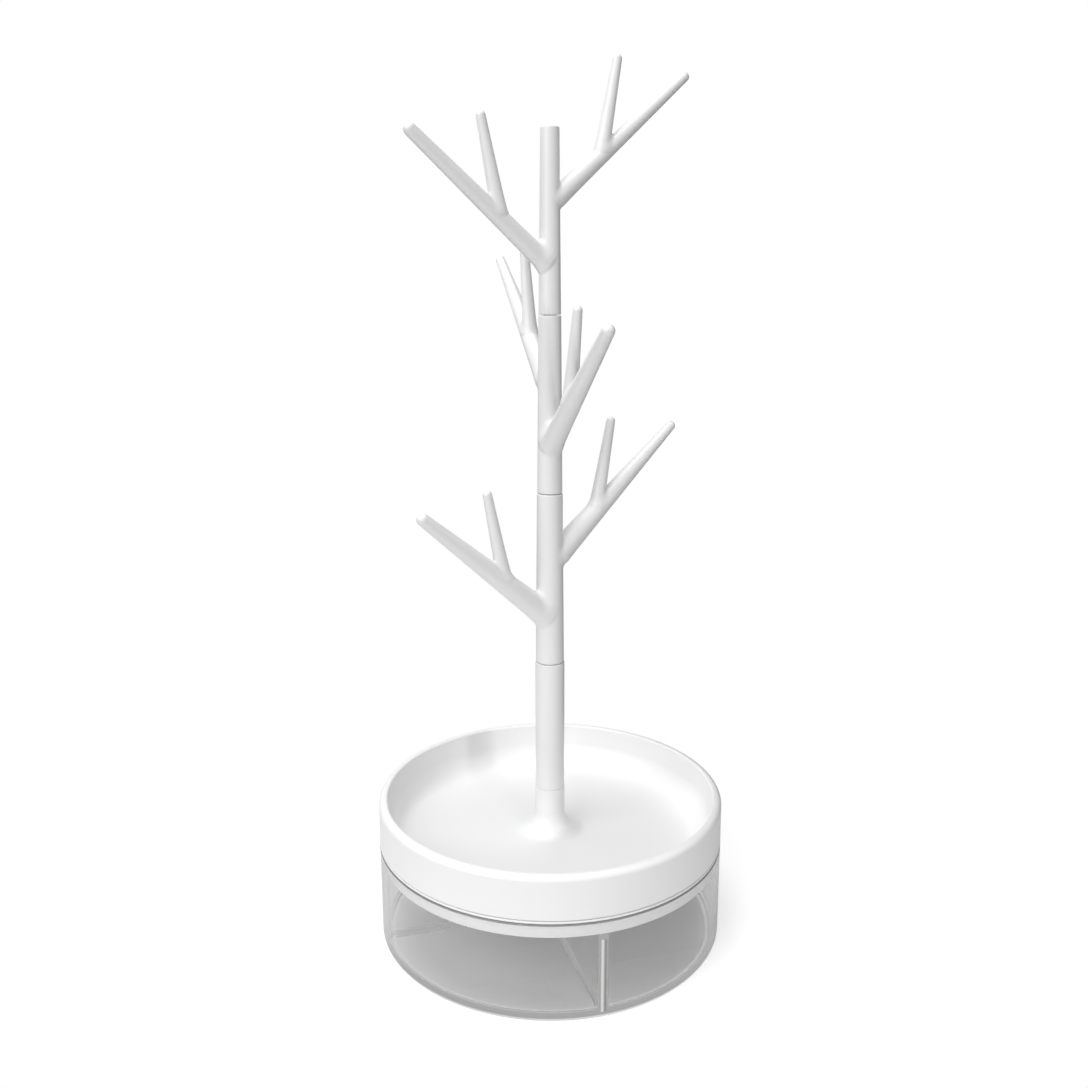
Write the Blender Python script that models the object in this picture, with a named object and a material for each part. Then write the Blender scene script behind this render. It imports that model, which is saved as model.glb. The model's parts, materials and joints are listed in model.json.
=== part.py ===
# Rotating jewelry box: a round clear tub with a turning tray lid and a three-tier branch tree.
# Blender 4.5, metres, +Z up. The origin is at the middle of the tub's underside,
# and the front of the object looks along -Y.

import math

import bmesh
import bpy
from mathutils import Vector

mm = 0.001

# Fits shared by all pieces
seat_gap = 0.3 * mm          # between pieces that touch
round_sides = 48             # facets of the tub, plate and tray
trunk_sides = 24
limb_sides = 14
sweep_steps = 8              # facets of a wide round, as in the dish
corner_steps = 4             # facets of a rounded corner
edge_steps = 2               # facets of a small rounded edge

# Tub, clear, with its dividers moulded in
tub_radius = 72.5 * mm
tub_draft = 0.3 * mm         # how much narrower the tub is at its foot
tub_height = 39.7 * mm
tub_wall = 2.2 * mm
tub_floor = 2.2 * mm
tub_foot_round = 1.6 * mm
tub_inner_round = 2.4 * mm
tub_lip_round = 0.4 * mm
divider_wall = 2.2 * mm
divider_angle = math.radians(16.3)   # turn of the first divider from the front
divider_count = 2
divider_overlap = 1.0 * mm   # how far the dividers run into the wall and floor

# Swivel plate, which plugs into the tub and carries the tray
flange_thickness = 0.9 * mm
plug_depth = 6.5 * mm        # skirt below the flange
plug_wall = 1.8 * mm
web_thickness = 1.6 * mm
web_drop = 3.2 * mm          # web top below the flange's underside
hub_thickness = 1.1 * mm
hub_radius = 14.0 * mm
hub_wall = 2.0 * mm
glide_radius = 54.0 * mm     # bead that the tray slides on
glide_width = 1.6 * mm

# Tray, which is the turning lid
tray_height = 17.4 * mm      # outer side, from its lower edge to its rim
tray_floor_drop = 0.9 * mm   # dish floor below the outer side's lower edge
tray_floor = 2.0 * mm        # also the thickness of the pan below the dish's round
rim_outer_round = 2.4 * mm
rim_inner_round = 0.9 * mm
rim_width = 3.7 * mm
dish_round = 10.5 * mm
dish_draft = 0.8 * mm
tray_edge_round = 0.4 * mm
stub_flare = 9.0 * mm        # concave round from the dish floor to the stub
stub_extra = 0.15 * mm       # how much wider the stub is than the post on it
stub_rise = 1.4 * mm         # how far the stub stands above the rim
boss_radius = 4.0 * mm

# Pivot screw and washer
screw_radius = 1.2 * mm
screw_length = 10.0 * mm
screw_head_radius = 3.4 * mm
screw_head_height = 1.6 * mm
screw_recess = 0.5 * mm      # cross recess depth
screw_recess_width = 0.9 * mm
screw_recess_length = 3.6 * mm
washer_radius = 7.5 * mm
washer_thickness = 0.9 * mm

# Trunk: the plain post and the foot and head of each tier's tapered section
post_length = 54.8 * mm
post_radius = 6.1 * mm
tier_pitch = 71.5 * mm
lower_foot_radius = 5.85 * mm
lower_head_radius = 5.25 * mm
middle_foot_radius = 5.1 * mm
middle_head_radius = 4.55 * mm
upper_foot_radius = 4.45 * mm
upper_head_radius = 3.75 * mm
seam_round = 0.35 * mm
spigot_radius = 2.6 * mm
spigot_length = 10.0 * mm
spigot_chamfer = 0.6 * mm

# Branches: one moulding shape shared by the tiers, in one upright plane.
# Each has its root height on the trunk's axis, and the reach and height of its tip.
low_root_height = 18.5 * mm
low_reach = 59.0 * mm
low_tip_height = 68.0 * mm
low_tip_radius = 2.5 * mm
high_root_height = 42.3 * mm
high_reach = 63.4 * mm
high_tip_height = 96.4 * mm
high_tip_radius = 2.0 * mm
branch_root_share = 0.98     # branch radius at its root, as a share of the trunk's mean radius
low_twig_reach = 29.4 * mm
low_twig_height = 75.1 * mm
high_twig_reach = 30.4 * mm
high_twig_height = 100.8 * mm
twig_root_share = 0.36       # where the twig leaves its branch, along the branch
twig_root_radius = 3.1 * mm
twig_tip_radius = 1.85 * mm
buried_share = 0.85          # radius of a limb's hidden start, as a share of what carries it
root_flare = 0.5 * mm        # extra radius where a limb meets what carries it
root_flare_length = 4.5 * mm # the flare fades by a factor of e over this length
root_flare_reach = 12.0 * mm # beyond this the limb is a plain taper
flare_steps = 5

# How each tier is turned: the low branch's direction, clockwise from -X seen from above
lower_turn = math.radians(32.2)
middle_turn = math.radians(110.8)
upper_turn = math.radians(27.8)

# Heights that follow
plug_radius = tub_radius - tub_wall - seat_gap
flange_bottom = tub_height + seat_gap
flange_top = flange_bottom + flange_thickness
web_top = flange_bottom - web_drop
web_bottom = web_top - web_thickness
plug_bottom = flange_bottom - plug_depth
pan_radius = plug_radius - plug_wall
tray_bottom = flange_top + seat_gap
tray_top = tray_bottom + tray_height
dish_floor_top = tray_bottom - tray_floor_drop
dish_floor_bottom = dish_floor_top - tray_floor
glide_top = dish_floor_bottom - seat_gap
hub_bottom = glide_top - hub_thickness
boss_bottom = hub_bottom - seat_gap
washer_top = boss_bottom - seat_gap
washer_bottom = washer_top - washer_thickness
screw_head_top = washer_bottom - seat_gap
screw_head_bottom = screw_head_top - screw_head_height
divider_top = min(plug_bottom, screw_head_bottom) - seat_gap
socket_radius = spigot_radius + seat_gap
socket_depth = spigot_length + seat_gap
stub_radius = post_radius + stub_extra
stub_top = tray_top + stub_rise
post_bottom = stub_top + seat_gap
lower_bottom = post_bottom + post_length + seat_gap
middle_bottom = lower_bottom + tier_pitch
upper_bottom = middle_bottom + tier_pitch


def clear_scene():
    for thing in list(bpy.data.objects):
        bpy.data.objects.remove(thing, do_unlink=True)


def finish(name, colour, roughness, metallic=0.0, alpha=1.0):
    """A material with one Principled shader."""
    material = bpy.data.materials.new(name)
    material.use_nodes = True
    shader = material.node_tree.nodes["Principled BSDF"]
    shader.inputs["Base Color"].default_value = (*colour, 1.0)
    shader.inputs["Roughness"].default_value = roughness
    shader.inputs["Metallic"].default_value = metallic
    shader.inputs["Alpha"].default_value = alpha
    return material


def arc(centre, radius, start, end, steps=corner_steps):
    """Points of an arc in the outline's plane, angles in degrees."""
    points = []
    for step in range(steps + 1):
        angle = math.radians(start + (end - start) * step / steps)
        points.append((centre[0] + radius * math.cos(angle), centre[1] + radius * math.sin(angle)))
    return points


def add_rings(bm, rings, closed):
    """Joins rings of vertices into a skin. A ring of one vertex is a pole."""
    pairs = list(zip(rings, rings[1:]))
    if closed:
        pairs.append((rings[-1], rings[0]))
    for low, high in pairs:
        sides = max(len(low), len(high))
        if sides == 1:
            continue
        for side in range(sides):
            corner = [low[side % len(low)], low[(side + 1) % len(low)]]
            corner += [high[(side + 1) % len(high)], high[side % len(high)]]
            bm.faces.new(list(dict.fromkeys(corner)))


def new_object(name, bm, material, smooth_angle=35.0):
    """Makes an object from a bmesh, with its faces turned out and its round parts smooth."""
    bmesh.ops.recalc_face_normals(bm, faces=bm.faces)
    mesh = bpy.data.meshes.new(name)
    bm.to_mesh(mesh)
    bm.free()
    mesh.shade_smooth()
    mesh.set_sharp_from_angle(angle=math.radians(smooth_angle))
    mesh.materials.append(material)
    thing = bpy.data.objects.new(name, mesh)
    bpy.context.scene.collection.objects.link(thing)
    return thing


def turned(name, outline, sides, material, base=0.0):
    """A turned solid: a closed outline of radius and height, spun about the upright axis."""
    bm = bmesh.new()
    rings = []
    for radius, height in outline:
        if radius == 0.0:
            rings.append([bm.verts.new((0.0, 0.0, height - base))])
            continue
        ring = []
        for side in range(sides):
            angle = 2.0 * math.pi * side / sides
            ring.append(bm.verts.new((radius * math.cos(angle), radius * math.sin(angle), height - base)))
        rings.append(ring)
    add_rings(bm, rings, closed=True)
    thing = new_object(name, bm, material)
    thing.location = (0.0, 0.0, base)
    return thing


def box(name, size, centre, turn, material):
    """A block of a size, turned about the upright axis through its centre."""
    bm = bmesh.new()
    bmesh.ops.create_cube(bm, size=1.0)
    bmesh.ops.scale(bm, vec=Vector(size), verts=bm.verts)
    thing = new_object(name, bm, material)
    thing.location = centre
    thing.rotation_euler = (0.0, 0.0, turn)
    return thing


def cross_prism(name, length, width, height, centre, material):
    """An upright cross-shaped block, centred on a point."""
    long, short, half = 0.5 * length, 0.5 * width, 0.5 * height
    arm = [(long, -short), (long, short), (short, short)]
    bm = bmesh.new()
    rings = []
    for level in (-half, half):
        ring = []
        for quarter in range(4):
            angle = 0.5 * math.pi * quarter
            turn = (math.cos(angle), math.sin(angle))
            for x, y in arm:
                spot = (x * turn[0] - y * turn[1], x * turn[1] + y * turn[0], level)
                ring.append(bm.verts.new(spot))
        rings.append(ring)
    add_rings(bm, rings, closed=False)
    for ring in rings:
        bm.faces.new(ring)
    thing = new_object(name, bm, material)
    thing.location = centre
    return thing


def combine(thing, other, operation):
    """Joins or cuts a solid with another, which stays as a hidden guide."""
    modifier = thing.modifiers.new(other.name, "BOOLEAN")
    modifier.operation = operation
    modifier.solver = "EXACT"
    modifier.object = other
    other.hide_render = True
    other.display_type = "WIRE"


def limb(name, start, end, root_radius, tip_radius, carrier_radius, material):
    """A tapered round branch or twig with a flared root and a domed tip.

    It starts on the axis of what carries it, and its first length lies hidden in there.
    """
    start, end = Vector(start), Vector(end)
    along = (end - start).normalized()
    side = along.cross(Vector((0.0, 1.0, 0.0))).normalized()
    up = side.cross(along)
    body_length = (end - start).length - tip_radius

    def radius_at(distance):
        straight = root_radius + (tip_radius - root_radius) * distance / body_length
        return straight + root_flare * math.exp(-distance / root_flare_length)

    distances = [carrier_radius + root_flare_reach * step / flare_steps for step in range(flare_steps + 1)]
    distances.append(body_length)
    stations = [(0.0, buried_share * carrier_radius)]
    stations += [(distance, radius_at(distance)) for distance in distances]
    for step in range(1, corner_steps):
        angle = 0.5 * math.pi * step / corner_steps
        stations.append((body_length + tip_radius * math.sin(angle), tip_radius * math.cos(angle)))

    bm = bmesh.new()
    rings = [[bm.verts.new(start)]]
    for distance, radius in stations:
        centre = start + along * distance
        ring = []
        for step in range(limb_sides):
            angle = 2.0 * math.pi * step / limb_sides
            ring.append(bm.verts.new(centre + radius * (side * math.cos(angle) + up * math.sin(angle))))
        rings.append(ring)
    rings.append([bm.verts.new(end)])
    add_rings(bm, rings, closed=False)
    return new_object(name, bm, material)


def make_tub(clear):
    foot_radius = tub_radius - tub_draft
    inner_top = tub_radius - tub_wall
    inner_foot = foot_radius - tub_wall
    outline = [(0.0, 0.0)]
    outline += arc((foot_radius - tub_foot_round, tub_foot_round), tub_foot_round, -90.0, 0.0)
    lip_round_height = tub_height - tub_lip_round
    outline += arc((tub_radius - tub_lip_round, lip_round_height), tub_lip_round, 0.0, 90.0, edge_steps)
    outline += arc((inner_top + tub_lip_round, lip_round_height), tub_lip_round, 90.0, 180.0, edge_steps)
    outline += arc(
        (inner_foot - tub_inner_round, tub_floor + tub_inner_round), tub_inner_round, 0.0, -90.0
    )
    outline.append((0.0, tub_floor))
    tub = turned("tub", outline, round_sides, clear)
    divider_bottom = tub_floor - divider_overlap
    size = (divider_wall, 2.0 * (inner_foot + divider_overlap), divider_top - divider_bottom)
    centre = (0.0, 0.0, 0.5 * (divider_top + divider_bottom))
    for number in range(divider_count):
        turn = divider_angle + math.pi * number / divider_count
        combine(tub, box(f"divider_{number + 1}", size, centre, turn, clear), "UNION")


def make_swivel_plate(white):
    hole = boss_radius + seat_gap
    bead_in = glide_radius - 0.5 * glide_width
    bead_out = glide_radius + 0.5 * glide_width
    outline = [(hole, glide_top), (hub_radius, glide_top), (hub_radius, web_top)]
    outline += [(bead_in, web_top), (bead_in, glide_top), (bead_out, glide_top), (bead_out, web_top)]
    outline += [(pan_radius, web_top), (pan_radius, flange_top), (tub_radius, flange_top)]
    outline += [(tub_radius, flange_bottom), (plug_radius, flange_bottom), (plug_radius, plug_bottom)]
    outline += [(pan_radius, plug_bottom), (pan_radius, web_bottom)]
    outline += [(hub_radius - hub_wall, web_bottom), (hub_radius - hub_wall, hub_bottom)]
    outline.append((hole, hub_bottom))
    turned("swivel_plate", outline, round_sides, white, base=flange_bottom)


def make_tray(white):
    pilot_radius = screw_radius + seat_gap
    pilot_top = screw_head_top + screw_length + seat_gap
    rim_in = tub_radius - rim_width
    wall_foot = rim_in - dish_draft
    crest_out = tub_radius - rim_outer_round
    crest_in = rim_in + rim_inner_round
    flare_radius = stub_radius + stub_flare
    dish_centre = (wall_foot - dish_round, dish_floor_top + dish_round)
    pan_round = dish_round + tray_floor
    pan_end = math.degrees(math.asin((tray_bottom - dish_centre[1]) / pan_round))
    outline = [(0.0, pilot_top), (pilot_radius, pilot_top), (pilot_radius, boss_bottom)]
    outline += [(boss_radius, boss_bottom), (boss_radius, dish_floor_bottom)]
    outline += arc(dish_centre, pan_round, -90.0, pan_end)
    edge_centre = (tub_radius - tray_edge_round, tray_bottom + tray_edge_round)
    outline += arc(edge_centre, tray_edge_round, -90.0, 0.0, edge_steps)
    outline += arc((crest_out, tray_top - rim_outer_round), rim_outer_round, 0.0, 90.0)
    outline += arc((crest_in, tray_top - rim_inner_round), rim_inner_round, 90.0, 180.0, edge_steps)
    outline += arc(dish_centre, dish_round, 0.0, -90.0, sweep_steps)
    outline += arc((flare_radius, dish_floor_top + stub_flare), stub_flare, -90.0, -180.0, sweep_steps)
    outline += arc((stub_radius - seam_round, stub_top - seam_round), seam_round, 0.0, 90.0, edge_steps)
    outline += spigot(stub_top)
    turned("tray", outline, round_sides, white, base=tray_bottom)


def spigot(shoulder):
    """Outline of the round peg that stands on a shoulder, up to the axis."""
    top = shoulder + spigot_length
    points = [(spigot_radius, shoulder), (spigot_radius, top - spigot_chamfer)]
    points += [(spigot_radius - spigot_chamfer, top), (0.0, top)]
    return points


def make_trunk(name, bottom, length, foot_radius, head_radius, white, has_spigot=True):
    """A tapered trunk section with a socket in its foot and, below another one, a peg on its head."""
    top = bottom + length
    outline = [(0.0, bottom + socket_depth), (socket_radius, bottom + socket_depth)]
    outline.append((socket_radius, bottom))
    outline += arc((foot_radius - seam_round, bottom + seam_round), seam_round, -90.0, 0.0, edge_steps)
    outline += arc((head_radius - seam_round, top - seam_round), seam_round, 0.0, 90.0, edge_steps)
    outline += spigot(top) if has_spigot else [(0.0, top)]
    return turned(name, outline, trunk_sides, white, base=bottom)


def make_tier(name, bottom, foot_radius, head_radius, turn, white, has_spigot=True):
    """A tier: a trunk section with a low branch, a high branch opposite it, and a twig on each."""
    trunk = make_trunk(name, bottom, tier_pitch - seat_gap, foot_radius, head_radius, white, has_spigot)
    trunk_radius = 0.5 * (foot_radius + head_radius)
    root_radius = branch_root_share * trunk_radius
    low_root = Vector((0.0, 0.0, low_root_height))
    low_tip = Vector((-low_reach, 0.0, low_tip_height))
    high_root = Vector((0.0, 0.0, high_root_height))
    high_tip = Vector((high_reach, 0.0, high_tip_height))
    limbs = [
        ("low_branch", low_root, low_tip, root_radius, low_tip_radius, trunk_radius),
        ("high_branch", high_root, high_tip, root_radius, high_tip_radius, trunk_radius),
        (
            "low_twig",
            low_root.lerp(low_tip, twig_root_share),
            Vector((-low_twig_reach, 0.0, low_twig_height)),
            twig_root_radius,
            twig_tip_radius,
            root_radius + (low_tip_radius - root_radius) * twig_root_share,
        ),
        (
            "high_twig",
            high_root.lerp(high_tip, twig_root_share),
            Vector((high_twig_reach, 0.0, high_twig_height)),
            twig_root_radius,
            twig_tip_radius,
            root_radius + (high_tip_radius - root_radius) * twig_root_share,
        ),
    ]
    for part, start, end, thick, thin, carrier in limbs:
        shape = limb(f"{name}_{part}", start, end, thick, thin, carrier, white)
        shape.parent = trunk
        combine(trunk, shape, "UNION")
    trunk.rotation_euler = (0.0, 0.0, turn)


def make_pivot(steel):
    washer_hole = screw_radius + seat_gap
    outline = [(washer_hole, washer_bottom), (washer_radius, washer_bottom)]
    outline += [(washer_radius, washer_top), (washer_hole, washer_top)]
    turned("pivot_washer", outline, trunk_sides, steel, base=washer_bottom)

    head_edge = 0.5 * screw_head_height
    shank_top = screw_head_top + screw_length
    outline = [(0.0, screw_head_bottom), (screw_head_radius - head_edge, screw_head_bottom)]
    outline += [(screw_head_radius, screw_head_bottom + head_edge), (screw_head_radius, screw_head_top)]
    outline += [(screw_radius, screw_head_top), (screw_radius, shank_top - screw_radius), (0.0, shank_top)]
    screw = turned("pivot_screw", outline, trunk_sides, steel, base=screw_head_bottom)
    mouth = (0.0, 0.0, screw_head_bottom)
    recess_height = 2.0 * screw_recess
    recess = cross_prism("recess", screw_recess_length, screw_recess_width, recess_height, mouth, steel)
    combine(screw, recess, "DIFFERENCE")


def main():
    clear_scene()
    clear = finish("clear_plastic", (0.93, 0.94, 0.94), 0.06, alpha=0.35)
    white = finish("white_plastic", (0.86, 0.86, 0.86), 0.3)
    steel = finish("steel", (0.62, 0.62, 0.62), 0.3, metallic=1.0)
    make_tub(clear)
    make_swivel_plate(white)
    make_tray(white)
    make_pivot(steel)
    make_trunk("base_post", post_bottom, post_length, post_radius, post_radius, white)
    make_tier("lower_tier", lower_bottom, lower_foot_radius, lower_head_radius, lower_turn, white)
    make_tier("middle_tier", middle_bottom, middle_foot_radius, middle_head_radius, middle_turn, white)
    make_tier(
        "upper_tier", upper_bottom, upper_foot_radius, upper_head_radius, upper_turn, white,
        has_spigot=False,
    )


main()
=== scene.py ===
import json
import math

import bmesh
import bpy
import numpy as np
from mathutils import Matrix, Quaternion, Vector

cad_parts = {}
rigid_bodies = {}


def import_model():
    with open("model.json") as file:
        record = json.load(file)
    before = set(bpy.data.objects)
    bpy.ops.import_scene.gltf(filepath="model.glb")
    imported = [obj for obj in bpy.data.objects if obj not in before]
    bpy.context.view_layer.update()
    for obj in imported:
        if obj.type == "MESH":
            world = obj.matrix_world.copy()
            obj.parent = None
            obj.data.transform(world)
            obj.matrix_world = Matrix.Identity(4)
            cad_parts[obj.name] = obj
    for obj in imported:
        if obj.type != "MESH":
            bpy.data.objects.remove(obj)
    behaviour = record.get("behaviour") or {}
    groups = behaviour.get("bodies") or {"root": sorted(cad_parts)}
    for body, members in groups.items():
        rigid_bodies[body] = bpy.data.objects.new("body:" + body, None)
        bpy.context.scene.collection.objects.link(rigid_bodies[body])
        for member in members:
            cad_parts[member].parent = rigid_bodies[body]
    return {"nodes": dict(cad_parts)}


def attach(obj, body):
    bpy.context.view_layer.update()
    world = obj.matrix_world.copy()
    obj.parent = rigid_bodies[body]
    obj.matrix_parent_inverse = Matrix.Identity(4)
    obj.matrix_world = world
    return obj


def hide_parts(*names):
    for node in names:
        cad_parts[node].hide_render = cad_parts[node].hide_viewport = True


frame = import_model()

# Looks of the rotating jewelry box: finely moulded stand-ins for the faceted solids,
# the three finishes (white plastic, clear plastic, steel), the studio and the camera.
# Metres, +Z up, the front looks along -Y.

mm = 0.001
quarter_turn = 0.5 * math.pi
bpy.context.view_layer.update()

for thing in list(bpy.data.objects):
    if thing.name in ("Cube", "Light", "Camera"):
        bpy.data.objects.remove(thing, do_unlink=True)

# The part's sizes, as its solids have them
seat_gap = 0.3 * mm
tub_radius = 72.5 * mm
tub_draft = 0.3 * mm
tub_height = 39.7 * mm
tub_wall = 2.2 * mm
tub_floor = 2.2 * mm
tub_foot_round = 1.6 * mm
tub_inner_round = 2.4 * mm
divider_wall = 2.2 * mm
divider_angle = math.radians(16.3)
divider_top = 33.2 * mm
flange_bottom = 40.0 * mm
flange_top = 40.9 * mm
plug_radius = 70.0 * mm
plug_inner = 68.2 * mm
plug_bottom = 33.5 * mm
web_top = 36.8 * mm
web_bottom = 35.2 * mm
glide_top = 38.0 * mm
hub_bottom = 36.9 * mm
hub_radius = 14.0 * mm
hub_wall = 2.0 * mm
boss_radius = 4.0 * mm
boss_bottom = 36.6 * mm
glide_radius = 54.0 * mm
glide_width = 1.6 * mm
tray_bottom = 41.2 * mm
tray_top = 58.6 * mm
stub_top = 60.0 * mm
dish_floor_top = 40.3 * mm
tray_floor = 2.0 * mm
rim_outer_round = 2.4 * mm
rim_inner_round = 0.9 * mm
rim_width = 3.7 * mm
dish_round = 10.5 * mm
dish_draft = 0.8 * mm
stub_flare = 9.0 * mm
stub_radius = 6.25 * mm
screw_radius = 1.2 * mm
screw_length = 10.0 * mm
screw_head_top = 35.1 * mm
washer_bottom = 35.4 * mm
washer_top = 36.3 * mm
washer_radius = 7.5 * mm
post_bottom = 60.3 * mm
post_top = 115.1 * mm
post_radius = 6.1 * mm
tier_length = 71.2 * mm
seam_round = 0.35 * mm
spigot_radius = 2.6 * mm
spigot_length = 10.0 * mm
spigot_chamfer = 0.6 * mm
socket_radius = 2.9 * mm
socket_depth = 10.3 * mm
# name, body, bottom, foot radius, head radius, turn in degrees
tiers = (
    ("lower_tier", "lower_branches", 115.4 * mm, 5.85 * mm, 5.25 * mm, 32.2),
    ("middle_tier", "middle_branches", 186.9 * mm, 5.1 * mm, 4.55 * mm, 110.8),
    ("upper_tier", "upper_branches", 258.4 * mm, 4.45 * mm, 3.75 * mm, 27.8),
)
low_root, low_tip = Vector((0, 0, 18.5)) * mm, Vector((-59.0, 0, 68.0)) * mm
high_root, high_tip = Vector((0, 0, 42.3)) * mm, Vector((63.4, 0, 96.4)) * mm
low_twig_tip, high_twig_tip = Vector((-29.4, 0, 75.1)) * mm, Vector((30.4, 0, 100.8)) * mm
low_tip_radius = 2.5 * mm
high_tip_radius = 2.0 * mm
branch_root_share = 0.98
twig_root_share = 0.36
twig_root_radius = 3.1 * mm
twig_tip_radius = 1.85 * mm
root_flare = 0.5 * mm
root_flare_length = 4.5 * mm
buried_share = 0.85          # radius of a limb's hidden start, as a share of what carries it

# Fineness of the stand-ins
turned_sides = 256           # facets of the plate and the tray
slim_sides = 96              # facets of the post and the washer
limb_sides = 48
limb_steps = 24              # rings along a limb before it is joined to the trunk
tip_angles = (0.4, 0.8, 1.2)  # rings of a limb's round tip
voxel = 0.6 * mm             # fineness of the remesh that joins trunk and limbs
settle_steps = 5             # times that its vertices move towards the melted skin
wall_steps = 60              # steps of the wall's arc along one pocket
root_steps = 5               # steps of the wall's arc across one divider
trunk_zone = 9.0 * mm        # nothing but the trunk ends closer to the axis than this


# Shapes

def arc(centre, radius, start, end, steps=6):
    """Points of an arc in the outline's plane of radius and height, angles in degrees."""
    points = []
    for step in range(steps + 1):
        angle = math.radians(start + (end - start) * step / steps)
        points.append((centre[0] + radius * math.cos(angle), centre[1] + radius * math.sin(angle)))
    return points


def skin(bm, rings, closed=False):
    """Joins rings of vertices into a skin. A ring of one vertex is a pole."""
    pairs = list(zip(rings, rings[1:]))
    if closed:
        pairs.append((rings[-1], rings[0]))
    for low, high in pairs:
        sides = max(len(low), len(high))
        if sides == 1:
            continue
        for side in range(sides):
            corner = [low[side % len(low)], low[(side + 1) % len(low)]]
            corner += [high[(side + 1) % len(high)], high[side % len(high)]]
            corner = list(dict.fromkeys(corner))
            bm.faces.new(corner)


def ring_of(bm, angles, radius, height):
    """A level ring of vertices, or one vertex where it has no radius."""
    if radius == 0.0:
        return [bm.verts.new((0.0, 0.0, height))]
    return [bm.verts.new((radius * math.cos(a), radius * math.sin(a), height)) for a in angles]


def piece(name, bm, material, body, node, sharp=32.0, weighted=True):
    """Makes a smooth-shaded object that rides a body and, where a node is named, stands for it."""
    bmesh.ops.recalc_face_normals(bm, faces=bm.faces)
    mesh = bpy.data.meshes.new(name)
    bm.to_mesh(mesh)
    bm.free()
    mesh.shade_smooth()
    mesh.set_sharp_from_angle(angle=math.radians(sharp))
    mesh.materials.append(material)
    thing = bpy.data.objects.new(name, mesh)
    bpy.context.scene.collection.objects.link(thing)
    if weighted:
        thing.modifiers.new("normals", "WEIGHTED_NORMAL").keep_sharp = True
    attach(thing, body)
    if node is not None:
        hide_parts(node)
    return thing


def turned(outline, sides):
    """A turned skin of a closed outline of radius and height."""
    bm = bmesh.new()
    angles = [2.0 * math.pi * side / sides for side in range(sides)]
    skin(bm, [ring_of(bm, angles, radius, height) for radius, height in outline], closed=True)
    return bm


def peg(shoulder):
    """Outline of the round peg that a trunk section is pushed onto, from its shoulder up."""
    top = shoulder + spigot_length
    return [
        (spigot_radius, shoulder),
        (spigot_radius, top - spigot_chamfer),
        (spigot_radius - spigot_chamfer, top),
        (0.0, top),
    ]


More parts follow.
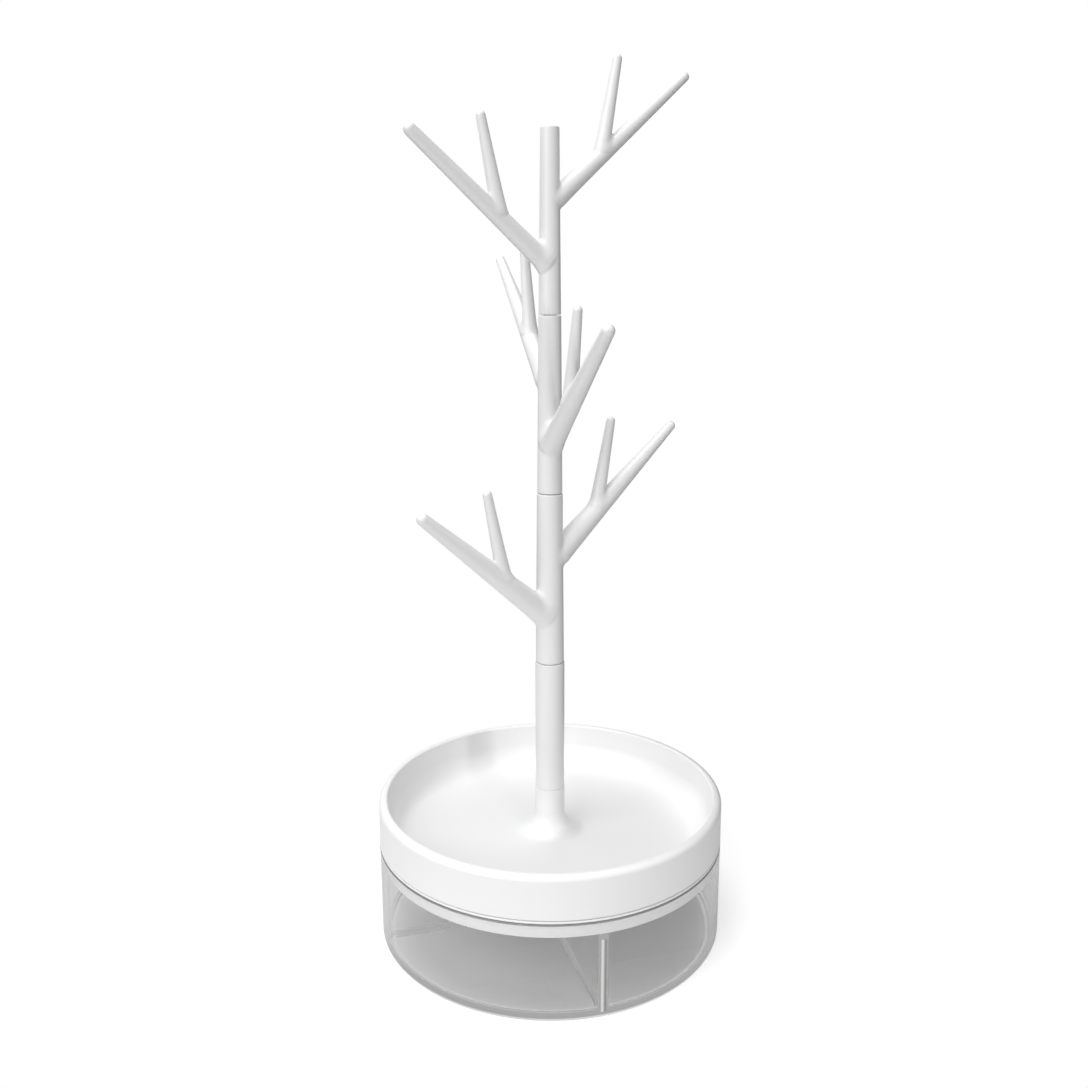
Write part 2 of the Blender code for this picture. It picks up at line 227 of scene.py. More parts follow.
def make_tub(material):
    """The clear tub: one closed skin round the wall, the crossing dividers and the four pockets."""
    foot = tub_radius - tub_draft
    inner_top = tub_radius - tub_wall
    inner_foot = foot - tub_wall
    half = 0.5 * divider_wall
    corner = 1.5 * mm            # upright corners of a pocket
    lip = 0.4 * mm
    crest = 0.5 * mm             # rounding of a divider's top
    side_steps = 8
    corner_steps = 6
    crest_steps = 4
    round_steps = 8

    def inner_radius(height):
        low = tub_floor + tub_inner_round
        share = (height - low) / (tub_height - lip - low)
        return inner_foot + (inner_top - inner_foot) * min(max(share, 0.0), 1.0)

    def pocket(radius, inset, gap_inset):
        """Outline of a pocket in its own quadrant: points of the wall arc, then of the rest."""
        wall = radius - inset
        side = half + gap_inset
        reach = wall - corner
        far = math.sqrt(reach * reach - (side + corner) ** 2)
        lean = math.atan2(side + corner, far)
        arc_points = []
        for step in range(wall_steps + 1):
            angle = lean + (quarter_turn - 2.0 * lean) * step / wall_steps
            arc_points.append((wall * math.cos(angle), wall * math.sin(angle)))
        near = side + corner
        rest = []
        for step in range(1, corner_steps + 1):
            angle = quarter_turn - lean + (quarter_turn + lean) * step / corner_steps
            rest.append((near + corner * math.cos(angle), far + corner * math.sin(angle)))
        for step in range(1, side_steps):
            rest.append((side, far + (near - far) * step / side_steps))
        for step in range(corner_steps + 1):
            angle = math.pi + quarter_turn * step / corner_steps
            rest.append((near + corner * math.cos(angle), near + corner * math.sin(angle)))
        for step in range(1, side_steps):
            rest.append((near + (far - near) * step / side_steps, side))
        for step in range(corner_steps):
            angle = -quarter_turn + (quarter_turn + lean) * step / corner_steps
            rest.append((far + corner * math.cos(angle), near + corner * math.sin(angle)))
        return arc_points, rest

    def turned_by(point, turn):
        cos, sin = math.cos(turn), math.sin(turn)
        return point[0] * cos - point[1] * sin, point[0] * sin + point[1] * cos

    bm = bmesh.new()
    top_radius = inner_radius(divider_top)
    side = half + corner
    lean = math.atan2(side, math.sqrt((top_radius - corner) ** 2 - side ** 2))
    angles = []
    for quarter in range(4):
        start = divider_angle + quarter_turn * quarter
        span = quarter_turn - 2.0 * lean
        angles += [start + lean + span * step / wall_steps for step in range(wall_steps + 1)]
        end = start + quarter_turn
        angles += [end + lean * (2.0 * step / root_steps - 1.0) for step in range(1, root_steps)]
    outline = arc((foot - tub_foot_round, tub_foot_round), tub_foot_round, -90.0, 0.0, 8)
    outline += arc((tub_radius - lip, tub_height - lip), lip, 0.0, 90.0, 4)
    outline += arc((inner_top + lip, tub_height - lip), lip, 90.0, 180.0, 4)
    rings = [ring_of(bm, angles, *point) for point in outline]
    rings.append(ring_of(bm, angles, top_radius, divider_top))
    skin(bm, rings)
    bm.faces.new(rings[0])
    mouth = rings[-1]
    cross = []
    for quarter in range(4):
        turn = divider_angle + quarter_turn * quarter
        first = quarter * (wall_steps + root_steps)
        wall_ring = mouth[first:first + wall_steps + 1]
        # a divider's crest is rounded, so the pocket is widest at the top
        _, top_rest = pocket(top_radius, 0.0, -crest)
        top_loop = list(wall_ring)
        for point in top_rest:
            top_loop.append(bm.verts.new((*turned_by(point, turn), divider_top)))
        loops = [top_loop]
        for step in range(1, crest_steps + 1):
            angle = quarter_turn * step / crest_steps
            height = divider_top - crest * (1.0 - math.cos(angle))
            arc_points, rest = pocket(inner_radius(height), 0.0, crest * (math.sin(angle) - 1.0))
            loops.append([bm.verts.new((*turned_by(p, turn), height)) for p in arc_points + rest])
        for step in range(round_steps + 1):
            angle = quarter_turn * step / round_steps
            inset = tub_inner_round * (1.0 - math.cos(angle))
            height = tub_floor + tub_inner_round * (1.0 - math.sin(angle))
            arc_points, rest = pocket(inner_foot, inset, inset)
            loops.append([bm.verts.new((*turned_by(p, turn), height)) for p in arc_points + rest])
        skin(bm, loops)
        bm.faces.new(loops[-1])
        root = mouth[first + wall_steps + 1:first + wall_steps + root_steps]
        cross += [wall_ring[0], *reversed(top_loop[wall_steps + 1:]), wall_ring[-1], *root]
    bm.faces.new(cross)
    piece("tub_clear", bm, material, "box", "tub")


def make_swivel_plate(material):
    """The plate: hub, web with its glide bead, skirt in the tub's mouth, and flange on its rim."""
    hole = boss_radius + seat_gap
    bead_in, bead_out = glide_radius - 0.5 * glide_width, glide_radius + 0.5 * glide_width
    bead = 0.5 * glide_width
    edge = 0.3 * mm
    skirt_edge = 0.5 * mm
    web_round = 0.6 * mm
    outline = [(hole, glide_top), (hub_radius - edge, glide_top), (hub_radius, glide_top - edge)]
    outline += [(hub_radius, web_top), (bead_in, web_top)]
    outline += arc((glide_radius, glide_top - bead), bead, 180.0, 0.0, 8)
    outline += [(bead_out, web_top)]
    outline += arc((plug_inner - web_round, web_top + web_round), web_round, -90.0, 0.0, 4)
    outline += arc((plug_inner + edge, flange_top - edge), edge, 180.0, 90.0, 3)
    outline += arc((tub_radius - edge, flange_top - edge), edge, 90.0, 0.0, 4)
    outline += arc((tub_radius - edge, flange_bottom + edge), edge, 0.0, -90.0, 4)
    outline += [(plug_radius, flange_bottom)]
    outline += arc((plug_radius - skirt_edge, plug_bottom + skirt_edge), skirt_edge, 0.0, -90.0, 5)
    outline += arc((plug_inner + edge, plug_bottom + edge), edge, -90.0, -180.0, 3)
    outline += [(plug_inner, web_bottom), (hub_radius - hub_wall, web_bottom)]
    outline += [(hub_radius - hub_wall, hub_bottom), (hole, hub_bottom)]
    bm = turned(outline, turned_sides)
    piece("swivel_plate_fine", bm, material, "plate", "swivel_plate")


def make_gate_mark(material):
    """The small round mark of the mould's gate, a low ring on the front of the skirt."""
    spot = Vector((-0.75 * mm, -plug_radius, 35.5 * mm))
    outline = [(0.0, -0.1), (0.95, -0.1), (0.95, 0.0), (0.85, 0.1)]
    outline += [(0.7, 0.12), (0.55, 0.1), (0.45, 0.03), (0.0, 0.03)]
    bm = turned([(radius * mm, height * mm) for radius, height in outline], 32)
    out = Quaternion((1.0, 0.0, 0.0), quarter_turn)
    for v in bm.verts:
        v.co = out @ v.co + spot
    piece("gate_mark", bm, material, "plate", None)


def make_tray(material):
    """The tray: dish with its rounded rim, the pan below it, the screw boss and the flared stub."""
    pilot_radius = screw_radius + seat_gap
    pilot_top = screw_head_top + screw_length + seat_gap
    rim_in = tub_radius - rim_width
    wall_foot = rim_in - dish_draft
    dish_centre = (wall_foot - dish_round, dish_floor_top + dish_round)
    pan_round = dish_round + tray_floor
    pan_end = math.degrees(math.asin((tray_bottom - dish_centre[1]) / pan_round))
    edge = 0.4 * mm
    floor_bottom = dish_floor_top - tray_floor
    outline = [(0.0, pilot_top), (pilot_radius, pilot_top), (pilot_radius, boss_bottom)]
    outline += [(boss_radius, boss_bottom), (boss_radius, floor_bottom)]
    outline += arc(dish_centre, pan_round, -90.0, pan_end, 12)
    outline += arc((tub_radius - edge, tray_bottom + edge), edge, -90.0, 0.0, 5)
    outer, inner = rim_outer_round, rim_inner_round
    outline += arc((tub_radius - outer, tray_top - outer), outer, 0.0, 90.0, 14)
    outline += arc((rim_in + inner, tray_top - inner), inner, 90.0, 180.0, 8)
    outline += arc(dish_centre, dish_round, 0.0, -90.0, 28)
    flare_centre = (stub_radius + stub_flare, dish_floor_top + stub_flare)
    outline += arc(flare_centre, stub_flare, -90.0, -180.0, 28)
    edge = 0.15 * mm
    outline += arc((stub_radius - edge, stub_top - edge), edge, 0.0, 90.0, 5)
    outline += peg(stub_top)
    bm = turned(outline, turned_sides)
    piece("tray_fine", bm, material, "turning_tray", "tray")


def make_post(material):
    """The plain post, with a socket below and a peg above. Its seam with the stub is nearly closed."""
    foot = post_bottom - 0.2 * mm
    edge = 0.12 * mm
    socket_top = post_bottom + socket_depth
    outline = [(0.0, socket_top), (socket_radius, socket_top), (socket_radius, foot)]
    outline += arc((post_radius - edge, foot + edge), edge, -90.0, 0.0, 4)
    outline += arc((post_radius - seam_round, post_top - seam_round), seam_round, 0.0, 90.0, 5)
    outline += peg(post_top)
    bm = turned(outline, slim_sides)
    piece("base_post_fine", bm, material, "turning_tray", "base_post")


def make_tier(name, body, bottom, foot, head, turn, material):
    """A tier: trunk and limbs melted into one skin, with small fillets where they meet."""
    trunk = 0.5 * (foot + head)
    root_radius = branch_root_share * trunk
    low_carrier = root_radius + (low_tip_radius - root_radius) * twig_root_share
    high_carrier = root_radius + (high_tip_radius - root_radius) * twig_root_share
    low_fork = low_root.lerp(low_tip, twig_root_share)
    high_fork = high_root.lerp(high_tip, twig_root_share)
    # start, end, radius at either, radius of what carries the limb, and its fillet
    limbs = [
        (low_root, low_tip, root_radius, low_tip_radius, trunk, 2.8 * mm),
        (high_root, high_tip, root_radius, high_tip_radius, trunk, 1.2 * mm),
        (low_fork, low_twig_tip, twig_root_radius, twig_tip_radius, low_carrier, 1.6 * mm),
        (high_fork, high_twig_tip, twig_root_radius, twig_tip_radius, high_carrier, 1.6 * mm),
    ]

    def limb_radius(distance, length, thick, thin, carrier):
        def open_radius(along):
            flare = root_flare * np.exp(-along / root_flare_length)
            return thick + (thin - thick) * along / length + flare

        share = np.minimum(distance / carrier, 1.0)
        hidden = buried_share * carrier
        return hidden + (open_radius(np.maximum(distance, carrier)) - hidden) * share

    def depth(p):
        """Signed distance, nearly, from the melted skin."""
        taper = np.clip(p[:, 2] / tier_length, 0.0, 1.0)
        melted = np.hypot(p[:, 0], p[:, 1]) - (foot + (head - foot) * taper)
        for start, end, thick, thin, carrier, soft in limbs:
            a = np.array(start)
            along = np.array((end - start).normalized())
            length = (end - start).length - thin
            ahead = (p - a) @ along
            t = np.clip(ahead, 0.0, length)
            d = np.linalg.norm(p - (a + t[:, None] * along), axis=1)
            d -= limb_radius(t, length, thick, thin, carrier)
            onset = np.clip(1.5 * ahead / carrier + 0.1, 0.0, 1.0)
            blend = 0.02 * mm + soft * onset * onset * (3.0 - 2.0 * onset)
            mix = np.clip(0.5 + 0.5 * (melted - d) / blend, 0.0, 1.0)
            melted = melted * (1.0 - mix) + d * mix - blend * mix * (1.0 - mix)
        return melted

    def slope_at(p):
        """Gradient of the distance."""
        nudge = 0.02 * mm
        slope = np.zeros_like(p)
        for axis in range(3):
            shift = np.zeros(3)
            shift[axis] = nudge
            slope[:, axis] = (depth(p + shift) - depth(p - shift)) / (2.0 * nudge)
        return slope

    # trunk and limbs as separate rods, longer than the trunk, which a remesh joins
    bm = bmesh.new()
    angles = [2.0 * math.pi * side / limb_sides for side in range(limb_sides)]
    spare = 3.0 * mm
    below, above = -spare, tier_length + spare
    outline = [(0.0, below), (foot, below), (head, above), (0.0, above)]
    skin(bm, [ring_of(bm, angles, *point) for point in outline])
    for start, end, thick, thin, carrier, _ in limbs:
        along = (end - start).normalized()
        side = along.cross(Vector((0.0, 1.0, 0.0))).normalized()
        up = side.cross(along)
        length = (end - start).length - thin
        spots = [length * step / limb_steps for step in range(limb_steps + 1)]
        stations = [(spot, float(limb_radius(spot, length, thick, thin, carrier))) for spot in spots]
        stations += [(length + thin * math.sin(a), thin * math.cos(a)) for a in tip_angles]
        rings = [[bm.verts.new(start)]]
        for distance, radius in stations:
            centre = start + along * distance
            spokes = [side * math.cos(a) + up * math.sin(a) for a in angles]
            rings.append([bm.verts.new(centre + radius * spoke) for spoke in spokes])
        rings.append([bm.verts.new(end)])
        skin(bm, rings)
    bmesh.ops.recalc_face_normals(bm, faces=bm.faces)
    mesh = bpy.data.meshes.new(name + "_rough")
    bm.to_mesh(mesh)
    bm.free()
    rough = bpy.data.objects.new(name + "_rough", mesh)
    bpy.context.scene.collection.objects.link(rough)
    remesh = rough.modifiers.new("remesh", "REMESH")
    remesh.mode = "VOXEL"
    remesh.voxel_size = voxel
    depsgraph = bpy.context.evaluated_depsgraph_get()
    fused = bpy.data.meshes.new_from_object(rough.evaluated_get(depsgraph))
    bpy.data.objects.remove(rough, do_unlink=True)

    # its vertices then settle on the melted skin, all but those of the trunk's spare ends
    p = np.zeros(len(fused.vertices) * 3)
    fused.vertices.foreach_get("co", p)
    p = p.reshape(-1, 3)
    inside = (p[:, 2] > -0.5 * mm) & (p[:, 2] < tier_length + 0.5 * mm)
    inside |= np.hypot(p[:, 0], p[:, 1]) > trunk_zone
    least = 0.2                  # keeps the step short where the distance is nearly level
    for _ in range(settle_steps):
        slope = slope_at(p)
        step = (depth(p) / np.maximum((slope ** 2).sum(1), least))[:, None] * slope
        p = np.where(inside[:, None], p - np.clip(step, -mm, mm), p)
    fused.vertices.foreach_set("co", p.ravel())
    fused.update()

    # the trunk is cut near both ends and gets its seam rounds, socket and peg as turned rings
    bm = bmesh.new()
    bm.from_mesh(fused)
    cut = 1.2 * mm
    zone_height = 5.0 * mm
    for level, direction in ((cut, -1.0), (tier_length - cut, 1.0)):
        near = [f for f in bm.faces if math.hypot(*f.calc_center_median()[:2]) < trunk_zone
                and abs(f.calc_center_median().z - level) < zone_height]
        geom = set(near)
        for face in near:
            geom.update(face.verts)
            geom.update(face.edges)
        bmesh.ops.bisect_plane(
            bm, geom=list(geom), dist=1e-7,
            plane_co=(0.0, 0.0, level), plane_no=(0.0, 0.0, direction),
        )
        gone = [v for v in bm.verts if math.hypot(v.co.x, v.co.y) < trunk_zone
                and (v.co.z - level) * direction > 1e-6]
        bmesh.ops.delete(bm, geom=gone, context="VERTS")
        edge_verts = [v for v in bm.verts if v.is_boundary and abs(v.co.z - level) < 1e-5]
        edge_verts.sort(key=lambda v: math.atan2(v.co.y, v.co.x))
        if direction < 0.0:
            profile = arc((foot - seam_round, seam_round), seam_round, 0.0, -90.0, 4)
            profile += [(socket_radius, 0.0), (socket_radius, socket_depth), (0.0, socket_depth)]
        else:
            profile = arc((head - seam_round, tier_length - seam_round), seam_round, 0.0, 90.0, 4)
            # the upper tier ends flat and plain
            profile += peg(tier_length) if name != "upper_tier" else [(0.0, tier_length)]
        turns = [math.atan2(v.co.y, v.co.x) for v in edge_verts]
        radius_here = foot + (head - foot) * level / tier_length
        for v, angle in zip(edge_verts, turns):
            v.co = (radius_here * math.cos(angle), radius_here * math.sin(angle), level)
        skin(bm, [edge_verts] + [ring_of(bm, turns, *point) for point in profile])
    spin = Quaternion((0.0, 0.0, 1.0), math.radians(turn))
    bm.verts.index_update()
    p = np.array([v.co[:] for v in bm.verts])
    for v in bm.verts:
        v.co = spin @ v.co + Vector((0.0, 0.0, bottom))
    thing = piece(
        name + "_fine", bm, material, body, name, sharp=50.0, weighted=False
    )

    # shading normals of the melted skin straight from its distance field
    mesh = thing.data
    reach = np.hypot(p[:, 0], p[:, 1])
    between = (p[:, 2] > cut - 1e-6) & (p[:, 2] < tier_length - cut + 1e-6)
    melted = between & (reach > socket_radius + 0.3 * mm) | (reach > trunk_zone)
    slope = slope_at(p)
    slope /= np.maximum(np.linalg.norm(slope, axis=1), 1e-6)[:, None]
    slope = slope @ np.array(spin.to_matrix()).T
    corners = np.zeros(len(mesh.loops) * 3)
    mesh.corner_normals.foreach_get("vector", corners)
    corners = corners.reshape(-1, 3)
    owner = np.zeros(len(mesh.loops), dtype=int)
    mesh.loops.foreach_get("vertex_index", owner)
    chosen = melted[owner]
    corners[chosen] = slope[owner[chosen]]
    mesh.normals_split_custom_set(corners.tolist())


def make_washer(material):
    """The washer below the hub, with softened outer edges."""
    hole = screw_radius + seat_gap
    edge = 0.15 * mm
    outline = [(hole, washer_bottom), (washer_radius - edge, washer_bottom)]
    outline += [(washer_radius, washer_bottom + edge), (washer_radius, washer_top - edge)]
    outline += [(washer_radius - edge, washer_top), (hole, washer_top)]
    bm = turned(outline, slim_sides)
    piece("washer_fine", bm, material, "turning_tray", "pivot_washer")


# Finishes

def principled(name):
    """A new material, its nodes, its links and its main shader."""
    material = bpy.data.materials.new(name)
    material.use_nodes = True
    tree = material.node_tree
    return material, tree.nodes, tree.links, tree.nodes["Principled BSDF"]


def noise(nodes, links, coords, scale, detail):
    """A soft random share, finer with a larger scale."""
    node = nodes.new("ShaderNodeTexNoise")
    node.inputs["Scale"].default_value = scale
    node.inputs["Detail"].default_value = detail
    links.new(coords, node.inputs["Vector"])
    return node.outputs["Fac"]


def mapped(nodes, links, value, start, end, low=0.0, high=1.0):
    """A node that maps the span from start to end to that from low to high, held at both ends."""
    node = nodes.new("ShaderNodeMapRange")
    node.inputs["From Min"].default_value = start
    node.inputs["From Max"].default_value = end
    node.inputs["To Min"].default_value = low
    node.inputs["To Max"].default_value = high
    links.new(value, node.inputs["Value"])
    return node


def ranged(nodes, links, value, low, high):
    """Maps a share to the span from low to high."""
    node = mapped(nodes, links, value, 0.0, 1.0, low, high)
    node.clamp = False
    return node.outputs["Result"]


def bump(nodes, links, value, distance, strength):
    """Normals of a surface that rises with a share, by up to a distance in metres."""
    node = nodes.new("ShaderNodeBump")
    node.inputs["Distance"].default_value = distance
    node.inputs["Strength"].default_value = strength
    links.new(value, node.inputs["Height"])
    return node.outputs["Normal"]


def mixed(nodes, links, share, first, second):
    """Mixes two shaders by a share, which is a number or a socket."""
    node = nodes.new("ShaderNodeMixShader")
    if isinstance(share, float):
        node.inputs[0].default_value = share
    else:
        links.new(share, node.inputs[0])
    links.new(first, node.inputs[1])
    links.new(second, node.inputs[2])
    return node.outputs[0]


def emission(nodes, strength):
    """A plain white glow."""
    node = nodes.new("ShaderNodeEmission")
    node.inputs["Strength"].default_value = strength
    return node.outputs[0]


def both(nodes, links, first, second, operation="MULTIPLY"):
    """Product, or another operation, of a share and another share or number."""
    node = nodes.new("ShaderNodeMath")
    node.operation = operation
    links.new(first, node.inputs[0])
    if isinstance(second, float):
        node.inputs[1].default_value = second
    else:
        links.new(second, node.inputs[1])
    return node.outputs[0]


def either(nodes, links, first, second):
    """The larger of two shares."""
    return both(nodes, links, first, second, "MAXIMUM")


def band(nodes, links, value, low, high):
    """Share that is one between two lengths and falls to zero just outside them."""
    fall = 0.2 * mm
    shares = []
    for inside, outside in ((low, low - fall), (high, high + fall)):
        shares.append(mapped(nodes, links, value, outside, inside).outputs["Result"])
    return both(nodes, links, *shares)


def white_plastic():
    """Moulded white plastic: satin gloss that varies a little, and a faint orange-peel waviness."""
    material, nodes, links, shader = principled("white_plastic_moulded")
    coords = nodes.new("ShaderNodeTexCoord").outputs["Object"]
    tone = nodes.new("ShaderNodeMix")
    tone.data_type = "RGBA"
    # inputs 6 and 7 and output 2 of a mix node are its colours
    tone.inputs[6].default_value = (0.845, 0.845, 0.845, 1.0)
    tone.inputs[7].default_value = (0.855, 0.855, 0.855, 1.0)
    links.new(noise(nodes, links, coords, 30.0, 1.0), tone.inputs[0])
    links.new(tone.outputs[2], shader.inputs["Base Color"])
    satin = noise(nodes, links, coords, 40.0, 2.0)
    links.new(ranged(nodes, links, satin, 0.29, 0.35), shader.inputs["Roughness"])
    wavy = noise(nodes, links, coords, 90.0, 1.0)
    links.new(bump(nodes, links, wavy, 0.05 * mm, 0.08), shader.inputs["Normal"])
    shader.inputs["IOR"].default_value = 1.49
    return material


def clear_plastic():
    """Clear moulded plastic with a faint flow waviness.

    Light that a wall catches and leads along to its edges needs many bounces. Their result is painted
    here by place: a painted glow in soft bright lines where it comes out, painted shade in thin dark
    lines where none does.
    """
    material, nodes, links, shader = principled("clear_plastic_moulded")
    material.cycles.emission_sampling = "NONE"
    coords = nodes.new("ShaderNodeTexCoord").outputs["Object"]
    shader.inputs["Base Color"].default_value = (0.93, 0.93, 0.93, 1.0)
    shader.inputs["Transmission Weight"].default_value = 1.0
    shader.inputs["IOR"].default_value = 1.52
    gloss = noise(nodes, links, coords, 90.0, 3.0)
    links.new(ranged(nodes, links, gloss, 0.015, 0.05), shader.inputs["Roughness"])
    wavy = noise(nodes, links, coords, 35.0, 2.0)
    links.new(bump(nodes, links, wavy, 0.08 * mm, 0.2), shader.inputs["Normal"])
    # a painted glow for caught light takes over as a ray is reflected: half of it after once, all
    # after twice
    path = nodes.new("ShaderNodeLightPath")
    caught = mapped(nodes, links, path.outputs["Glossy Depth"], 0.0, 2.0)
    solid = mixed(nodes, links, caught.outputs["Result"], shader.outputs[0], emission(nodes, 0.38))
    # a painted glow where more of it leaves, at the foot's rounded edge and at the floor's inner
    # corner
    place = nodes.new("ShaderNodeSeparateXYZ")
    links.new(coords, place.inputs[0])
    flat = nodes.new("ShaderNodeCombineXYZ")
    links.new(place.outputs["X"], flat.inputs["X"])
    links.new(place.outputs["Y"], flat.inputs["Y"])
    reach = nodes.new("ShaderNodeVectorMath")
    reach.operation = "LENGTH"
    links.new(flat.outputs[0], reach.inputs[0])
    height, radius = place.outputs["Z"], reach.outputs["Value"]
    outer = tub_radius - tub_draft
    foot_edge = both(
        nodes, links, band(nodes, links, height, 0.5 * mm, 1.5 * mm),
        band(nodes, links, radius, outer - mm, outer + mm),
    )
    corner = outer - tub_wall - tub_inner_round
    inner_edge = both(
        nodes, links, band(nodes, links, height, tub_floor - mm, tub_floor + 0.5 * mm),
        band(nodes, links, radius, corner - 0.2 * mm, corner + 0.7 * mm),
    )
    inner_edge = both(nodes, links, inner_edge, 0.55)
    # the painted glow of the soft bright lines
    painted_glow = emission(nodes, 0.66)
    for edge in (foot_edge, inner_edge):
        solid = mixed(nodes, links, edge, solid, painted_glow)
    # painted shade: a dark matte surface for the thin dark lines
    painted_shade = nodes.new("ShaderNodeBsdfDiffuse")
    painted_shade.inputs["Color"].default_value = (0.16, 0.16, 0.16, 1.0)
    # where a divider meets the wall, one side gets a line of painted glow and the other a line of
    # painted shade
    root = both(
        nodes, links, band(nodes, links, height, tub_floor + 0.5 * mm, divider_top - mm),
        band(nodes, links, radius, outer - 0.5 * mm, tub_radius + mm),
    )
    for turn in (divider_angle, divider_angle - quarter_turn):
        across = nodes.new("ShaderNodeVectorMath")
        across.operation = "DOT_PRODUCT"
        across.inputs[1].default_value = (-math.sin(turn), math.cos(turn), 0.0)
        links.new(coords, across.inputs[0])
        side = across.outputs["Value"]
        line = both(nodes, links, root, band(nodes, links, side, -1.3 * mm, -0.5 * mm))
        solid = mixed(nodes, links, line, solid, painted_glow)
        line = both(nodes, links, root, band(nodes, links, side, 0.2 * mm, 0.5 * mm))
        solid = mixed(nodes, links, both(nodes, links, line, 0.6), solid, painted_shade.outputs[0])
    # painted shade at the wall's lip and at the foot's lowest edge, where none leaves
    lip = band(nodes, links, height, tub_height - 0.5 * mm, tub_height + mm)
    foot = both(
        nodes, links, band(nodes, links, height, -mm, 0.3 * mm),
        band(nodes, links, radius, outer - 1.2 * mm, outer + mm),
    )
    for edge in (lip, foot):
        solid = mixed(nodes, links, both(nodes, links, edge, 0.7), solid, painted_shade.outputs[0])
    through = nodes.new("ShaderNodeBsdfTransparent")
    through.inputs["Color"].default_value = (0.99, 0.99, 0.99, 1.0)
    # light on its way to a lamp or from a dull surface goes straight through
    straight = either(nodes, links, path.outputs["Is Shadow Ray"], path.outputs["Is Diffuse Ray"])
    out = mixed(nodes, links, straight, solid, through.outputs[0])
    links.new(out, nodes["Material Output"].inputs["Surface"])
    return material


def steel():
    """Zinc-plated steel with fine turning marks."""
    material, nodes, links, shader = principled("steel_plated")
    coords = nodes.new("ShaderNodeTexCoord").outputs["Object"]
    shader.inputs["Base Color"].default_value = (0.62, 0.62, 0.62, 1.0)
    shader.inputs["Metallic"].default_value = 1.0
    wave = nodes.new("ShaderNodeTexWave")
    wave.wave_type = "RINGS"
    wave.rings_direction = "Z"
    wave.inputs["Scale"].default_value = 700.0
    wave.inputs["Distortion"].default_value = 1.0
    links.new(coords, wave.inputs["Vector"])
    grain = noise(nodes, links, coords, 600.0, 3.0)
    links.new(ranged(nodes, links, grain, 0.25, 0.42), shader.inputs["Roughness"])
    links.new(bump(nodes, links, wave.outputs["Fac"], 0.01 * mm, 0.4), shader.inputs["Normal"])
    return material


white = white_plastic()
clear = clear_plastic()
metal = steel()
make_tub(clear)
make_swivel_plate(white)
make_gate_mark(white)
make_tray(white)
make_post(white)
for tier in tiers:
    make_tier(*tier, white)
make_washer(metal)
screw = frame["nodes"]["pivot_screw"]
screw.data.materials.clear()
screw.data.materials.append(metal)


# Studio

def backdrop(nodes, links, other, shown):
    """Mixes to what the background shows for rays that see it: camera, glossy and transmission."""
    path = nodes.new("ShaderNodeLightPath")
    seen = either(nodes, links, path.outputs["Is Camera Ray"], path.outputs["Is Glossy Ray"])
    seen = either(nodes, links, seen, path.outputs["Is Transmission Ray"])
    return mixed(nodes, links, seen, other, shown)


def make_world():
    """A dim white surround that is seen at full white."""
    world = bpy.data.worlds.new("studio")
    bpy.context.scene.world = world
    world.use_nodes = True
    nodes, links = world.node_tree.nodes, world.node_tree.links
    nodes.clear()
    grounds = []
    for strength in (0.22, 1.0):
        ground = nodes.new("ShaderNodeBackground")
        ground.inputs["Color"].default_value = (1.0, 1.0, 1.0, 1.0)
        ground.inputs["Strength"].default_value = strength
        grounds.append(ground.outputs[0])
    out = nodes.new("ShaderNodeOutputWorld")
    links.new(backdrop(nodes, links, *grounds), out.inputs["Surface"])


def make_floor():
    """A white floor, seen at full white but for the object's shadow, and open from below.

    Only the camera sees it at full white. Gloss and clear plastic show it darker.
    """
    material, nodes, links, shader = principled("studio_floor")
    material.cycles.emission_sampling = "NONE"
    shader.inputs["Roughness"].default_value = 1.0
    shader.inputs["Specular IOR Level"].default_value = 0.0
    path = nodes.new("ShaderNodeLightPath")
    away = nodes.new("ShaderNodeVectorMath")
    away.operation = "LENGTH"
    links.new(nodes.new("ShaderNodeTexCoord").outputs["Object"], away.inputs[0])
    # pale near the object and darker further out, so that little of it lights the object
    near_tone, far_tone = 0.75, 0.15
    away = away.outputs["Value"]
    pale = mapped(nodes, links, away, 0.2, 0.6, near_tone, far_tone).outputs["Result"]
    links.new(pale, shader.inputs["Base Color"])
    # a glow lifts it to white for the camera, but for the object's shadow
    seen_lift, other_lift = 0.6, 0.04
    strength = ranged(nodes, links, path.outputs["Is Camera Ray"], other_lift, seen_lift)
    lift = nodes.new("ShaderNodeEmission")
    links.new(both(nodes, links, strength, pale), lift.inputs["Strength"])
    lit = nodes.new("ShaderNodeAddShader")
    links.new(shader.outputs[0], lit.inputs[0])
    links.new(lift.outputs[0], lit.inputs[1])
    # further out it is plain white for the camera
    fade = mapped(nodes, links, away, 0.08, 0.2)
    fade.interpolation_type = "SMOOTHSTEP"
    far = both(nodes, links, fade.outputs["Result"], path.outputs["Is Camera Ray"])
    spread = mixed(nodes, links, far, lit.outputs[0], emission(nodes, 1.0))
    top_side = backdrop(nodes, links, shader.outputs[0], spread)
    geometry = nodes.new("ShaderNodeNewGeometry")
    see_through = nodes.new("ShaderNodeBsdfTransparent")
    out = mixed(nodes, links, geometry.outputs["Backfacing"], top_side, see_through.outputs[0])
    links.new(out, nodes["Material Output"].inputs["Surface"])

    bm = bmesh.new()
    bmesh.ops.create_grid(bm, x_segments=1, y_segments=1, size=4.0)
    mesh = bpy.data.meshes.new("floor")
    bm.to_mesh(mesh)
    bm.free()
    mesh.materials.append(material)
    floor = bpy.data.objects.new("floor", mesh)
    floor.location = (0.0, 0.0, -0.2 * mm)
    bpy.context.scene.collection.objects.link(floor)


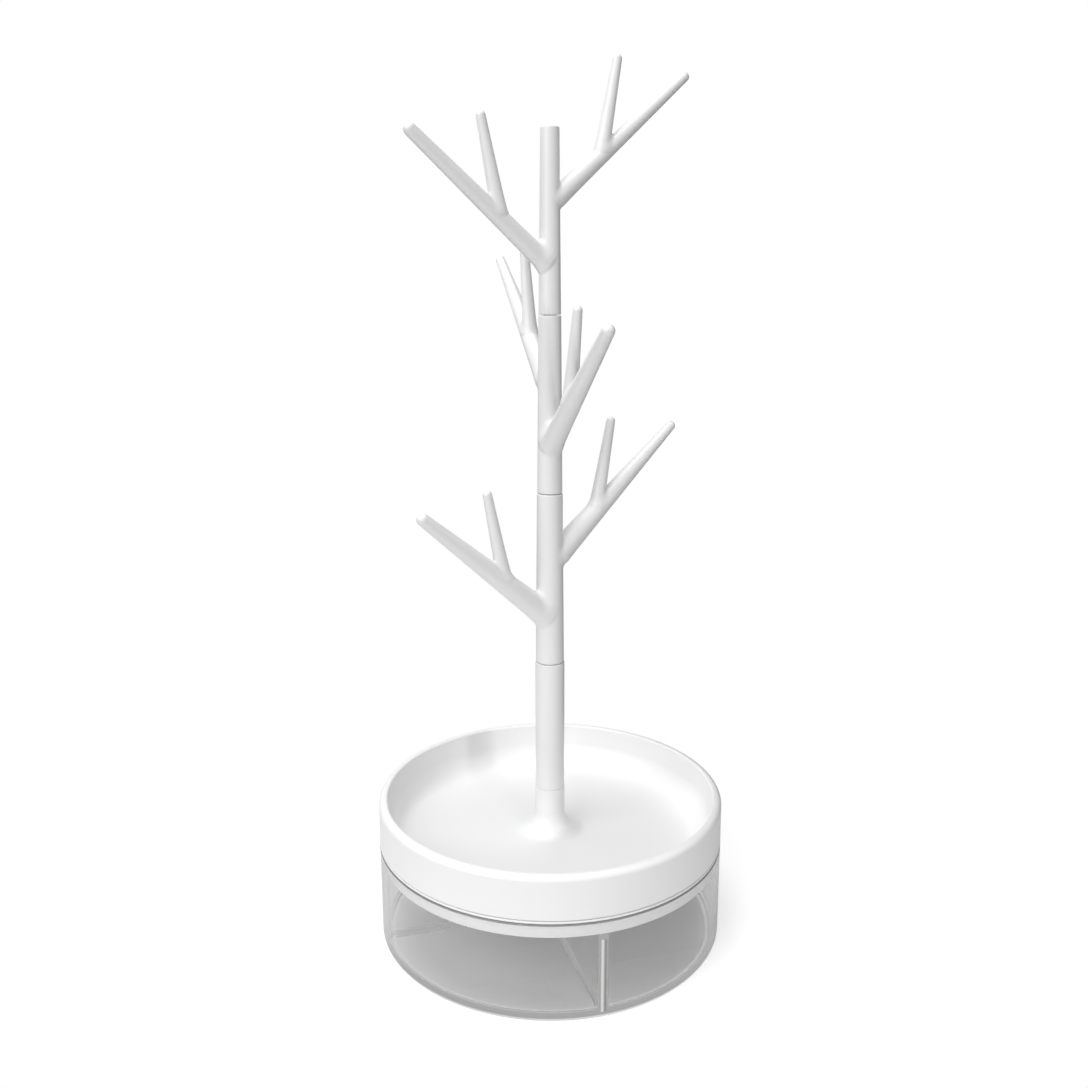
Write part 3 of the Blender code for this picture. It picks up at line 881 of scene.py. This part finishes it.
def area_light(name, place, aim, size, power):
    """A round soft lamp, with its size across in metres and its power in watts."""
    data = bpy.data.lights.new(name, "AREA")
    data.shape = "DISK"
    data.size = size
    data.energy = power
    light = bpy.data.objects.new(name, data)
    light.location = place
    light.rotation_mode = "QUATERNION"
    light.rotation_quaternion = (Vector(aim) - Vector(place)).to_track_quat("-Z", "Y")
    bpy.context.scene.collection.objects.link(light)
    return light


def dark_card(name, start, end, tall, grey):
    """An upright card that the camera doesn't see and that darkens the side of the object near it."""
    bm = bmesh.new()
    corners = [(*start, 0.0), (*end, 0.0), (*end, tall), (*start, tall)]
    bm.faces.new([bm.verts.new(corner) for corner in corners])
    mesh = bpy.data.meshes.new(name)
    bm.to_mesh(mesh)
    bm.free()
    material, _, _, shader = principled(name)
    shader.inputs["Base Color"].default_value = (grey, grey, grey, 1.0)
    shader.inputs["Roughness"].default_value = 1.0
    mesh.materials.append(material)
    card = bpy.data.objects.new(name, mesh)
    bpy.context.scene.collection.objects.link(card)
    card.visible_camera = False
    card.visible_transmission = False


make_world()
make_floor()
area_light("key_light", (-1.2, -1.4, 1.2), (0.0, 0.0, 0.08), 2.2, 31.0)
side = area_light("side_light", (0.375, -0.65, 0.25), (0.0, 0.0, 0.06), 0.07, 1.0)
side.visible_glossy = False
area_light("top_light", (-0.2, 0.0, 2.4), (0.0, 0.0, 0.0), 1.8, 37.5)
dark_card("right_card", (0.06, 0.24), (0.25, 0.0), 0.9, 0.05)

# Camera, fitted to the photograph: metres, radians and a lens in millimetres
pitch, yaw, roll = 0.17325, -0.00559, 0.001286
forward = Vector((math.sin(yaw) * math.cos(pitch), math.cos(yaw) * math.cos(pitch), -math.sin(pitch)))
lens = bpy.data.cameras.new("camera")
lens.sensor_width = 36.0
lens.lens = 35.087
lens.shift_y = -0.0496
camera = bpy.data.objects.new("camera", lens)
camera.location = (0.0, -0.42544, 0.2624)
camera.rotation_mode = "QUATERNION"
camera.rotation_quaternion = Quaternion(forward, roll) @ forward.to_track_quat("-Z", "Y")
bpy.context.scene.collection.objects.link(camera)
bpy.context.scene.camera = camera
bpy.context.scene.view_settings.view_transform = "Standard"
